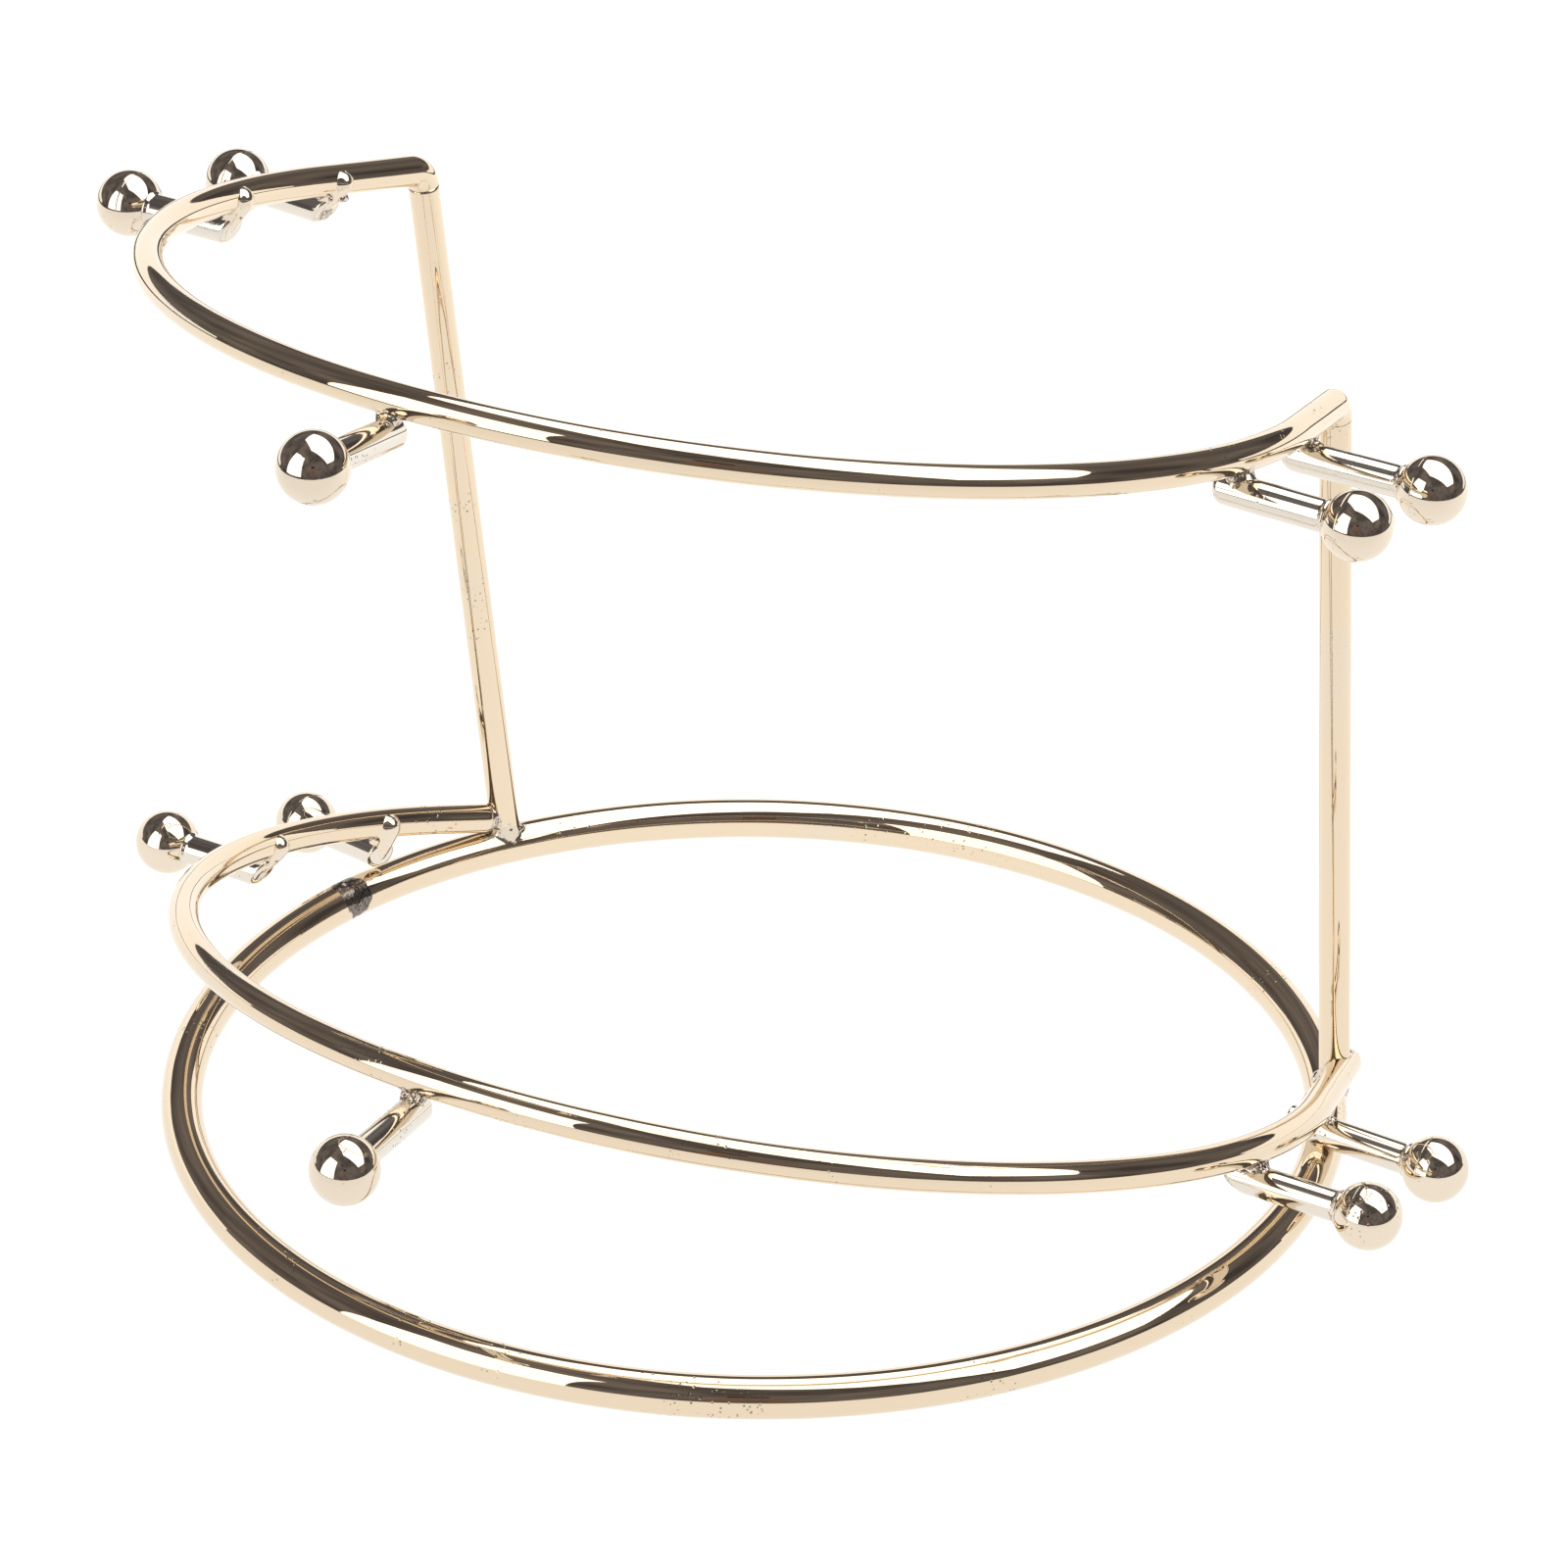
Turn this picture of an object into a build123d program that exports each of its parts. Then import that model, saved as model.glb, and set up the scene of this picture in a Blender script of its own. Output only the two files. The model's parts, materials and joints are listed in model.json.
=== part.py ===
"""Two-tier plate stand of welded round wire.

A ring of thick wire lies on the table. Two uprights stand on it, and each tier is a bowed wire
that joins the uprights and rises towards the front (-Y). Short pegs with ball ends sit under each
bowed wire, and a plate rests on them inside the bow.

Units are millimetres, +Z is up and the table is z = 0. The origin is the centre of the ring.
"""

from build123d import *
from math import acos, atan2, cos, degrees, hypot, radians, sin, sqrt
import os

# stock sizes
RING_WIRE = 8.0
WIRE = 6.0
BALL = 12.7

# base ring, and where the uprights' feet stand on it
RING_RADIUS = 110.0
FOOT_ANGLE = 31.3  # degrees behind the X axis, measured round the ring
RIGHT_FOOT_OUT = 1.8  # the right foot stands this far outside the ring's centreline

# bowed wires: centreline radius, centre of the bow and its rise towards the front in degrees
LOWER_RADIUS = 110.0
LOWER_CENTRE = (0.0, 0.0, 26.3)
LOWER_TILT = 15.7
LOWER_RIGHT_TIP = (95.4, 66.2)  # rounded tip past the outside of the right upright, in its plane
TIP_ROUNDING = 1.8
UPPER_RADIUS = 106.0
UPPER_CENTRE = (0.0, -11.0, 170.2)
UPPER_TILT = 12.5
UPPER_END = (98.7, 47.7)  # corner over the upright, measured in the upper bow's own plane
BEND_RADIUS = 4.6  # centreline radius of the turn down into the upright

# pegs
PEG_GAP = 0.25  # weld metal between a bowed wire and the peg under it
SIDE_TAIL = {"left": 1.8, "right": 5.4}  # how far a rod runs past the bowed wire's centreline
FRONT_TAIL = 2.0
SIDE_CUT = {"left": 24.0, "right": 18.0}  # slant of the rod's inner end, degrees from square
END_ROUNDING = 0.8

# welds
PEG_BEAD = 3.7
FOOT_BEAD = 4.9

# each side peg: side, name, distance back along its tier's plane where it crosses the bowed wire,
# distance of the ball's centre from the middle of the stand and back along the plane, and droop of
# the outer end in degrees
LOWER_SIDE_PEGS = (
    ("left", "rear", 30.0, 128.4, 38.3, 2.0),
    ("left", "front", -4.3, 134.0, -3.8, 0.0),
    ("right", "rear", 38.3, 128.4, 38.3, 2.0),
    ("right", "front", -3.8, 134.0, -3.8, 0.0),
)
UPPER_SIDE_PEGS = (
    ("left", "rear", 24.0, 128.0, 28.9, 0.0),
    ("left", "front", -5.7, 129.6, -4.7, 1.0),
    ("right", "rear", 28.9, 128.0, 28.9, 0.0),
    ("right", "front", -4.7, 129.6, -4.7, 1.0),
)
# each front peg crosses its bowed wire a little left of the middle and runs out to a ball in the
# middle: distance of the crossing from the middle, distance of the ball's centre forward along the
# plane, and droop
LOWER_FRONT_PEG = (-7.0, 141.6, 5.2)
UPPER_FRONT_PEG = (-4.2, 135.1, 0.0)

SIDES = {"left": -1, "right": 1}

os.makedirs("parts", exist_ok=True)


def tier_plane(centre, tilt):
    """Plane of a bowed wire: X to the right, Y to the back and down, Z out of its upper side."""
    normal = (0, sin(radians(tilt)), cos(radians(tilt)))
    return Plane(origin=centre, x_dir=(1, 0, 0), z_dir=normal)


def save(part, label):
    """Names a finished piece and writes it to its own file."""
    part.label = label
    export_step(part, f"parts/{label}.step")


def tangent_angle(radius, end):
    """Angle past the X axis where a straight run to the end point leaves the bow's circle."""
    end_x, end_y = end
    return degrees(atan2(end_y, end_x) - acos(radius / hypot(end_x, end_y)))


def bow_half_width(radius, end, back):
    """Distance from the middle to the bow's centreline, at a distance back in its plane."""
    leave = radians(tangent_angle(radius, end))
    if back <= radius * sin(leave):
        return sqrt(radius**2 - back**2)
    straight = (back - radius * sin(leave)) / cos(leave)
    return radius * cos(leave) - straight * sin(leave)


def round_wire(path, diameter):
    """A round wire along a path."""
    with BuildPart() as wire:
        with BuildSketch(Plane(origin=path @ 0, z_dir=path % 0)):
            Circle(diameter / 2)
        sweep(path=path)
    return wire.part


lower_plane = tier_plane(LOWER_CENTRE, LOWER_TILT)
upper_plane = tier_plane(UPPER_CENTRE, UPPER_TILT)
corner = upper_plane.from_local_coords(Vector(*UPPER_END, 0))
upper_leave = radians(tangent_angle(UPPER_RADIUS, UPPER_END))
run_in = Vector(-sin(upper_leave), cos(upper_leave), 0)
run_in = upper_plane.from_local_coords(run_in) - upper_plane.origin


def upright_line(foot_out):
    """Foot, axis and top seam of an upright, as it would stand on the right.

    The axis runs from the ring to the upper wire's corner, and the seam is where the wire's turn
    down ends. foot_out is the foot's distance outside the ring's centreline.
    """
    reach = RING_RADIUS + foot_out
    angle = radians(FOOT_ANGLE)
    foot = Vector(reach * cos(angle), reach * sin(angle), RING_WIRE / 2)
    axis = (corner - foot).normalized()
    half_turn = radians(run_in.get_angle(axis * -1)) / 2
    bend_leg = BEND_RADIUS * (sin(half_turn) / cos(half_turn))
    return foot, axis, corner - axis * bend_leg


upright_lines = {-1: upright_line(0.0), 1: upright_line(RIGHT_FOOT_OUT)}

# where the left upright's axis passes through the lower bow's plane is that bow's left end point
left_foot, left_axis, _ = upright_lines[-1]
foot_height = (lower_plane.origin - left_foot).dot(lower_plane.z_dir)
foot_rise = left_axis.dot(lower_plane.z_dir)
lower_local = lower_plane.to_local_coords(left_foot + left_axis * (foot_height / foot_rise))
LOWER_END = (lower_local.X, lower_local.Y)


def on_side(part, side):
    """The piece as it stands on the right (side = 1), or its mirror image on the left (-1)."""
    return part if side == 1 else mirror(part, about=Plane.YZ)


# base ring
with BuildPart() as base_ring:
    with Locations((0, 0, RING_WIRE / 2)):
        Torus(RING_RADIUS, RING_WIRE / 2)


def make_upright(side):
    """An upright: its foot is shaped to sit on the ring, and its top is cut square at the seam."""
    foot, axis, seam = upright_lines[side]
    with BuildPart() as upright:
        with BuildSketch(Plane(origin=foot, x_dir=(1, 0, 0), z_dir=axis)):
            Circle(WIRE / 2)
        extrude(amount=(seam - foot).length)
        add(base_ring.part, mode=Mode.SUBTRACT)
    return on_side(upright.part, side)


uprights = {side: make_upright(side) for side in SIDES.values()}


def bow_wire(plane, radius, left_end, right_end, turned_down=False):
    """A bowed wire: a circular bow and straight ends, turned down onto the uprights if asked.

    Each end is (distance from the middle, distance back) in the plane.
    """
    left_leave = tangent_angle(radius, left_end)
    right_leave = tangent_angle(radius, right_end)
    with BuildLine(plane, mode=Mode.PRIVATE) as bow:
        CenterArc((0, 0), radius, 180 - left_leave, 180 + left_leave + right_leave)
    with BuildLine(mode=Mode.PRIVATE) as path:
        add(bow.line)
        for side, end, start in (
            (-1, left_end, bow.line @ 0),
            (1, right_end, bow.line @ 1),
        ):
            point = plane.from_local_coords(Vector(side * end[0], end[1], 0))
            if turned_down:
                seam = upright_lines[side][2]
                last = Vector(side * seam.X, seam.Y, seam.Z)
                FilletPolyline(start, point, last, radius=BEND_RADIUS)
            else:
                Line(start, point)
    return round_wire(path.wire(), WIRE)


# lower bow: its left end butts on the upright, its right end runs past the outside of the other
# one to a rounded tip, and both are shaped to the uprights and to the ring below them
with BuildPart() as lower_bow:
    add(bow_wire(lower_plane, LOWER_RADIUS, LOWER_END, LOWER_RIGHT_TIP))
    tip_face = lower_bow.faces().filter_by(GeomType.PLANE).sort_by(Axis.X)[-1]
    fillet(tip_face.edges(), TIP_ROUNDING)
    for upright in uprights.values():
        add(upright, mode=Mode.SUBTRACT)
    add(base_ring.part, mode=Mode.SUBTRACT)

# upper bow: one wire with its turned-down ends
with BuildPart() as upper_bow:
    add(bow_wire(upper_plane, UPPER_RADIUS, UPPER_END, UPPER_END, turned_down=True))

save(base_ring.part, "base_ring")
save(lower_bow.part, "lower_bow")
save(upper_bow.part, "upper_bow")
for side_name, side in SIDES.items():
    save(uprights[side], f"{side_name}_upright")


def weld_bead(centre, radius, neighbours):
    """A round bead of weld metal, shaped to the pieces it joins. Only its main lump is kept."""
    with BuildPart() as bead:
        with Locations(centre):
            Sphere(radius)
        for neighbour in neighbours:
            add(neighbour, mode=Mode.SUBTRACT)
    return bead.solids().sort_by(SortBy.VOLUME)[-1]


def make_peg(plane, crossing, outward, reach, tail, slant, droop):
    """A peg under a bowed wire: its rod, its ball and the place of the weld that holds it.

    crossing is the point under which the rod passes, and outward its direction, both in the
    tier's plane. reach is the distance from the crossing to the ball's centre.
    """
    here = plane.from_local_coords(Vector(*crossing, -(WIRE + PEG_GAP)))
    flat = plane.from_local_coords(Vector(*outward, 0)) - plane.origin
    direction = flat * cos(radians(droop)) - plane.z_dir * sin(radians(droop))
    upward = plane.z_dir * cos(radians(droop)) + flat * sin(radians(droop))
    inner = here - direction * tail
    with BuildPart() as ball:
        with Locations(here + direction * reach):
            Sphere(BALL / 2)
    # the cut runs through the rod's top edge, so the underside is the shorter side
    cut = direction * cos(radians(slant)) + upward * sin(radians(slant))
    cut_point = inner + upward * (WIRE / 2)
    with BuildPart() as rod:
        with BuildSketch(Plane(origin=inner - direction * WIRE, x_dir=upward, z_dir=direction)):
            Circle(WIRE / 2)
        extrude(amount=tail + WIRE + reach)
        split(bisect_by=Plane(origin=cut_point, z_dir=cut), keep=Keep.TOP)
        inner_face = rod.faces().sort_by(Axis(inner, direction))[0]
        fillet(inner_face.edges(), END_ROUNDING)
        add(ball.part, mode=Mode.SUBTRACT)
        add(base_ring.part, mode=Mode.SUBTRACT)
    return rod.part, ball.part, here + upward * (WIRE + PEG_GAP) / 2


def make_tier(tier, plane, bow, radius, end, side_pegs, front_peg):
    """The five pegs of a tier as separate pieces, and their welds as one group."""
    welds = []
    for side_name, place, back, ball_out, ball_back, droop in side_pegs:
        side = SIDES[side_name]
        half_width = bow_half_width(radius, end, back)
        reach = hypot(ball_out - half_width, ball_back - back)
        rod, ball, joint = make_peg(
            plane,
            crossing=(half_width, back),
            outward=((ball_out - half_width) / reach, (ball_back - back) / reach),
            reach=reach,
            tail=SIDE_TAIL[side_name],
            slant=SIDE_CUT[side_name],
            droop=droop,
        )
        rod = on_side(rod, side)
        joint = (side * joint.X, joint.Y, joint.Z)
        save(rod, f"{tier}_{side_name}_{place}_peg")
        save(on_side(ball, side), f"{tier}_{side_name}_{place}_ball")
        welds.append(weld_bead(joint, PEG_BEAD, (bow, rod, base_ring.part)))
    crossing_x, ball_forward, droop = front_peg
    crossing_forward = sqrt(radius**2 - crossing_x**2)
    reach = hypot(crossing_x, ball_forward - crossing_forward)
    rod, ball, joint = make_peg(
        plane,
        crossing=(crossing_x, -crossing_forward),
        outward=(-crossing_x / reach, (crossing_forward - ball_forward) / reach),
        reach=reach,
        tail=FRONT_TAIL,
        slant=0.0,
        droop=droop,
    )
    save(rod, f"{tier}_front_peg")
    save(ball, f"{tier}_front_ball")
    welds.append(weld_bead(joint, PEG_BEAD, (bow, rod, base_ring.part)))
    save(Compound(children=welds), f"{tier}_peg_welds")


make_tier(
    "lower", lower_plane, lower_bow.part, LOWER_RADIUS, LOWER_END, LOWER_SIDE_PEGS, LOWER_FRONT_PEG
)
make_tier(
    "upper", upper_plane, upper_bow.part, UPPER_RADIUS, UPPER_END, UPPER_SIDE_PEGS, UPPER_FRONT_PEG
)

# welds round the uprights' feet, where ring, upright and lower bow meet
foot_welds = []
for side, upright in uprights.items():
    foot, axis, _ = upright_lines[side]
    joint = foot + axis * RING_WIRE / 2
    joined = (base_ring.part, upright, lower_bow.part)
    foot_welds.append(weld_bead((side * joint.X, joint.Y, joint.Z), FOOT_BEAD, joined))
save(Compound(children=foot_welds), "foot_welds")
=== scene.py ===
"""Looks of the two-tier wire plate stand: plated wires, pegs, balls and welds over the frame.

Everything is in metres in the frame's own axes: +Z up, -Y to the front, origin at the ring's centre
on the table.
"""

import json
import math

import bpy
import numpy as np
from mathutils import Matrix, Vector


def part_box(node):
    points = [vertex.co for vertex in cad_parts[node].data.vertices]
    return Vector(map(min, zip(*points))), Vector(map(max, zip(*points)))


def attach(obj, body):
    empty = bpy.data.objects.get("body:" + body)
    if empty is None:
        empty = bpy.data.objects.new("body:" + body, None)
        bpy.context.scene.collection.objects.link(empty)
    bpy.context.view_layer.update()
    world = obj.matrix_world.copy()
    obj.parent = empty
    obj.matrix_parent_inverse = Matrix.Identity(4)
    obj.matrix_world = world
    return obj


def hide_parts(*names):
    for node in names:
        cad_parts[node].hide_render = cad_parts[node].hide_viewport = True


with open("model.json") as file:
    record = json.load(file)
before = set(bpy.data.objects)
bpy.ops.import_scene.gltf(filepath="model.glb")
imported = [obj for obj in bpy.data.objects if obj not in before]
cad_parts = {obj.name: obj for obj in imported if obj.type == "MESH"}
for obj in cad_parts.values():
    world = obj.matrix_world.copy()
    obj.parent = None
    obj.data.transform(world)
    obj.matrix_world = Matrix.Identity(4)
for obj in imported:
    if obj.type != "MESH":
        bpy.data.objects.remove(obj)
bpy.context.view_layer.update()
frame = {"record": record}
record = frame["record"]
MM = 0.001

# ---------------------------------------------------------------- sizes, from the frame
ring_low, ring_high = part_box("base_ring")
RING_WIRE_R = (ring_high.z - ring_low.z) / 2
RING_R = (ring_high.x - ring_low.x) / 2 - RING_WIRE_R
rod_low, rod_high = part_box("upper_right_rear_peg")  # this rod lies square across the stand
WIRE_R = (rod_high.y - rod_low.y) / 2

# driving sizes of the part that its boxes don't state
FOOT_ANGLE = math.radians(31.3)  # uprights' feet, behind the X axis
FOOT_OUT = {-1: 0.0, 1: 1.8 * MM}  # left and right foot, outside the ring's centreline
UPPER_END = (98.7 * MM, 47.7 * MM)  # corner over the upright, in the upper bow's plane
LOWER_RIGHT_TIP = (95.4 * MM, 66.2 * MM)  # rounded tip past the right upright, in the lower plane
BEND_R = 4.6 * MM  # of the upper bow's centreline where its ends turn down
PEG_GAP = 0.25 * MM  # weld metal between a bowed wire and the peg under it
SIDE_PEG_BACK = {  # how far back each side peg crosses its bow, in the bow's plane
    "lower_left_rear": 30.0 * MM,
    "lower_left_front": -4.3 * MM,
    "lower_right_rear": 38.3 * MM,
    "lower_right_front": -3.8 * MM,
    "upper_left_rear": 24.0 * MM,
    "upper_left_front": -5.7 * MM,
    "upper_right_rear": 28.9 * MM,
    "upper_right_front": -4.7 * MM,
}
FRONT_PEG_ACROSS = {"lower": -7.0 * MM, "upper": -4.2 * MM}  # from the middle, + to the right


def bow_plane(mount_name):
    """Origin and axes (across, back, up) of a bow's plane, from the mount on its top edge."""
    rest = next(m for m in record["mounts"] if m["name"] == mount_name)
    up = Vector(rest["axis"]).normalized()
    origin = Vector(rest["pos_m"]) - up * WIRE_R
    across = Vector((1, 0, 0))
    return origin, across, up.cross(across), up


def in_plane(plane, x, back):
    """The point of a bow's plane that is x across and back behind its origin."""
    origin, across, backward, _ = plane
    return origin + across * x + backward * back


def bow_radius(node_name):
    """Radius of a bow's centreline, from its width."""
    low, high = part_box(node_name)
    return (high.x - low.x) / 2 - WIRE_R


def flipped(point, side):
    """The point on the right (side = 1) or its mirror image on the left (side = -1)."""
    return Vector((point.x * side, point.y, point.z))


def leaving_angle(radius, end):
    """Angle past the X axis where a straight run to the end point leaves the bow's circle."""
    return math.atan2(end[1], end[0]) - math.acos(radius / math.hypot(*end))


lower_plane = bow_plane("lower_tier_rest")
upper_plane = bow_plane("upper_tier_rest")
LOWER_R = bow_radius("lower_bow")
UPPER_R = bow_radius("upper_bow")

SIDES = {-1: "left", 1: "right"}
feet, axes, lower_meetings = {}, {}, {}
for side in SIDES:
    reach = RING_R + FOOT_OUT[side]
    foot = Vector((reach * math.cos(FOOT_ANGLE), reach * math.sin(FOOT_ANGLE), RING_WIRE_R))
    feet[side] = flipped(foot, side)
    axes[side] = (flipped(in_plane(upper_plane, *UPPER_END), side) - feet[side]).normalized()
    # the upright passes through the lower bow's plane here
    foot_height = (lower_plane[0] - feet[side]).dot(lower_plane[3])
    lower_meetings[side] = feet[side] + axes[side] * (foot_height / axes[side].dot(lower_plane[3]))

from_origin = lower_meetings[-1] - lower_plane[0]
LOWER_LEFT_END = (-from_origin.dot(lower_plane[1]), from_origin.dot(lower_plane[2]))

# ---------------------------------------------------------------- paths
STEP = 0.8 * MM  # between points along a wire


def straight(a, b):
    """Points from a to b, without b."""
    count = max(1, round((b - a).length / STEP))
    return [a.lerp(b, i / count) for i in range(count)]


def turned_end(start, point, down):
    """Points after start: along a straight end to its tip, and round the bend if it turns down."""
    if down is None:
        return straight(start, point)[1:] + [point]
    run = (point - start).normalized()
    half = run.angle(down) / 2
    bend_start = point - run * BEND_R * math.tan(half)
    centre = bend_start + (down - run * run.dot(down)).normalized() * BEND_R
    axis = run.cross(down).normalized()
    count = 40
    bend = []
    for i in range(count + 1):
        turn = Matrix.Rotation(2 * half * i / count, 3, axis)
        bend.append(centre + turn @ (bend_start - centre))
    return straight(start, bend_start)[1:] + bend


def bow_points(plane, radius, left_end, right_end, turned_down=False):
    """Centreline of a bow from left to right: straight end, circle, straight end, bends down."""
    left_down = -flipped(axes[-1], -1) if turned_down else None
    right_down = -axes[1] if turned_down else None
    left, right = leaving_angle(radius, left_end), leaving_angle(radius, right_end)
    sweep_angle = math.pi + left + right
    count = round(radius * sweep_angle / STEP)
    arc = []
    for i in range(count + 1):
        angle = math.pi - left + sweep_angle * i / count
        arc.append(in_plane(plane, radius * math.cos(angle), radius * math.sin(angle)))
    left_run = turned_end(flipped(arc[0], -1), in_plane(plane, *left_end), left_down)
    right_run = turned_end(arc[-1], in_plane(plane, *right_end), right_down)
    return [flipped(p, -1) for p in reversed(left_run)] + arc + right_run


def ring_path():
    """Centreline of the base ring."""
    count = round(2 * math.pi * RING_R / STEP)
    angles = [2 * math.pi * i / count for i in range(count)]
    return [Vector((RING_R * math.cos(a), RING_R * math.sin(a), RING_WIRE_R)) for a in angles]


ring_points = ring_path()
lower_points = bow_points(lower_plane, LOWER_R, LOWER_LEFT_END, LOWER_RIGHT_TIP)
upper_points = bow_points(upper_plane, UPPER_R, UPPER_END, UPPER_END, turned_down=True)
seams = {-1: upper_points[0], 1: upper_points[-1]}


# ---------------------------------------------------------------- mesh making
def ripple(points, scale, seed):
    """Smooth unevenness between about -1 and 1; one wave is about 1/scale metres long."""
    source = np.random.default_rng(seed)
    waves = 7
    total = 0.0
    for _ in range(waves):
        heading = source.normal(size=3)
        heading *= 2 * math.pi * scale * source.uniform(0.6, 1.4) / np.linalg.norm(heading)
        total = total + np.sin(points @ heading + source.uniform(0, 2 * math.pi))
    return total / waves**0.5


def mesh_object(name, verts, faces, face_uvs=None, smooth=True):
    """An object in the scene from points and faces. face_uvs has one row for each face corner."""
    mesh = bpy.data.meshes.new(name)
    mesh.from_pydata(np.asarray(verts, float).tolist(), [], faces)
    if face_uvs is not None:
        mesh.uv_layers.new(name="length").data.foreach_set("uv", face_uvs.ravel())
    mesh.polygons.foreach_set("use_smooth", [smooth] * len(mesh.polygons))
    mesh.update()
    made = bpy.data.objects.new(name, mesh)
    bpy.context.scene.collection.objects.link(made)
    return made


def grid_object(name, grid, along, girth, closed=False):
    """Skin over rows of points. Capped at its ends, or closed into a loop.

    along is the length coordinate of each row and girth the distance once around.
    """
    rows, around, _ = grid.shape
    first = np.arange(rows if closed else rows - 1)
    i, k = (a.ravel() for a in np.meshgrid(first, np.arange(around), indexing="ij"))
    j, m = (i + 1) % rows, (k + 1) % around
    faces = np.stack([i, i, j, j], 1) * around + np.stack([k, m, m, k], 1)
    ends = np.append(along, along[-1] + along[1] - along[0]) if closed else along
    lengths = np.stack([ends[i], ends[i], ends[i + 1], ends[i + 1]], 1)
    widths = np.stack([k, k + 1, k + 1, k], 1) * (girth / around)
    face_uvs = np.stack([lengths, widths], 2).reshape(-1, 2)
    faces = faces.tolist()
    if not closed:
        faces.append(list(range(around))[::-1])
        faces.append(list(range((rows - 1) * around, rows * around)))
        faces = [f[::-1] for f in faces]
        quads = face_uvs.reshape(-1, 4, 2)[:, ::-1].reshape(-1, 2)
        face_uvs = np.vstack([quads, np.zeros((2 * around, 2))])
    else:
        faces = [f[::-1] for f in faces]
        face_uvs = face_uvs.reshape(-1, 4, 2)[:, ::-1].reshape(-1, 2)
    made = mesh_object(name, grid.reshape(-1, 3), faces, face_uvs)
    if not closed:
        for cap in made.data.polygons[-2:]:
            cap.use_smooth = False
    return made


def frames_along(pts, closed):
    """Two directions square to the path at each point, carried along it without twist."""
    if closed:
        tangents = np.roll(pts, -1, 0) - np.roll(pts, 1, 0)
    else:
        tangents = np.vstack([pts[1:], pts[-1:]]) - np.vstack([pts[:1], pts[:-1]])
    tangents /= np.linalg.norm(tangents, axis=1)[:, None]
    normal = np.cross(tangents[0], (0.0, 0.0, 1.0))
    if np.linalg.norm(normal) < 0.1:
        normal = np.cross(tangents[0], (0.0, 1.0, 0.0))
    normals = []
    for t in tangents:
        normal = normal - t * normal.dot(t)
        normal = normal / np.linalg.norm(normal)
        normals.append(normal)
    normals = np.array(normals)
    return normals, np.cross(tangents, normals)


def rounded(pts, sizes, at_start, rounding):
    """Path and radii with one end rounded over by extra rows."""
    if not rounding:
        return pts, sizes
    if not at_start:
        pts, sizes = rounded(pts[::-1], sizes[::-1], True, rounding)
        return pts[::-1], sizes[::-1]
    run = pts[1] - pts[0]
    run /= np.linalg.norm(run)
    turns = np.linspace(0, math.pi / 2, 9)
    set_back = rounding * (1 - np.cos(turns))
    end_sizes = sizes[0] - rounding + rounding * np.sin(turns)
    far = np.linalg.norm(pts - pts[0], axis=1) > rounding * 1.05
    middle = pts[:1] - run * 0.001 * MM
    rows = np.vstack([middle, pts[0] + run * set_back[:, None], pts[far]])
    return rows, np.concatenate([[sizes[0] * 0.05], end_sizes, sizes[far]])


LONG_UNEVEN = 0.020 * MM  # swell of a wire's surface over about 30 mm
SHORT_UNEVEN = 0.004 * MM  # and over about 10 mm


def wire(name, points, radius, closed=False, start_rounding=0.0, end_rounding=0.0):
    """A round wire, a little uneven as bent and polished wire is."""
    around = 56
    pts = np.array([tuple(p) for p in points])
    sizes = np.full(len(pts), radius)
    pts, sizes = rounded(pts, sizes, True, start_rounding)
    pts, sizes = rounded(pts, sizes, False, end_rounding)
    normals, binormals = frames_along(pts, closed)
    angles = np.arange(around) * 2 * math.pi / around
    out = (
        normals[:, None] * np.cos(angles)[None, :, None]
        + binormals[:, None] * np.sin(angles)[None, :, None]
    )
    skin = pts[:, None] + out * sizes[:, None, None]
    uneven = ripple(skin, 30.0, 1) * LONG_UNEVEN + ripple(skin, 110.0, 2) * SHORT_UNEVEN
    along = np.concatenate([[0], np.cumsum(np.linalg.norm(np.diff(pts, axis=0), axis=1))])
    return grid_object(name, skin + out * uneven[..., None], along, 2 * math.pi * radius, closed)


# ---------------------------------------------------------------- pegs and balls
NOT_NEAR = 1.0  # metres, stands for points that a search along a bow leaves out


class Peg:
    """Where a peg lies: under a bow at its crossing, with its ball at the outer end.

    out points along the rod to the ball and up from the rod to the bow, square to it.
    """

    def __init__(self, tier, place, plane, bow):
        self.label = f"{tier}_{place}"
        self.slant, rounding, tail = PEG_ENDS[self.label]
        self.rounding, self.tail = rounding * MM, tail * MM
        low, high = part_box(f"{self.label}_ball")
        self.ball = (low + high) / 2
        self.ball_r = (high.z - low.z) / 2
        self.index = self.crossing_index(tier, place, plane, bow)
        self.bow_point = bow[self.index]
        self.under_bow = self.bow_point - plane[3] * (2 * WIRE_R + PEG_GAP)
        self.out = (self.ball - self.under_bow).normalized()
        self.up = (plane[3] - self.out * plane[3].dot(self.out)).normalized()
        self.inner = self.under_bow - self.out * self.tail
        self.length = (self.ball - self.inner).length

    def crossing_index(self, tier, place, plane, bow):
        """Index of the bow's point over the peg."""
        origin, _, backward, _ = plane
        misses = []
        for p in bow:
            miss = NOT_NEAR
            if place == "front":
                if p.y < origin.y:
                    miss = abs(p.x - FRONT_PEG_ACROSS[tier])
            elif p.x * self.ball.x > 0:
                miss = abs((p - origin).dot(backward) - SIDE_PEG_BACK[self.label])
            misses.append(miss)
        return misses.index(min(misses))


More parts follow.
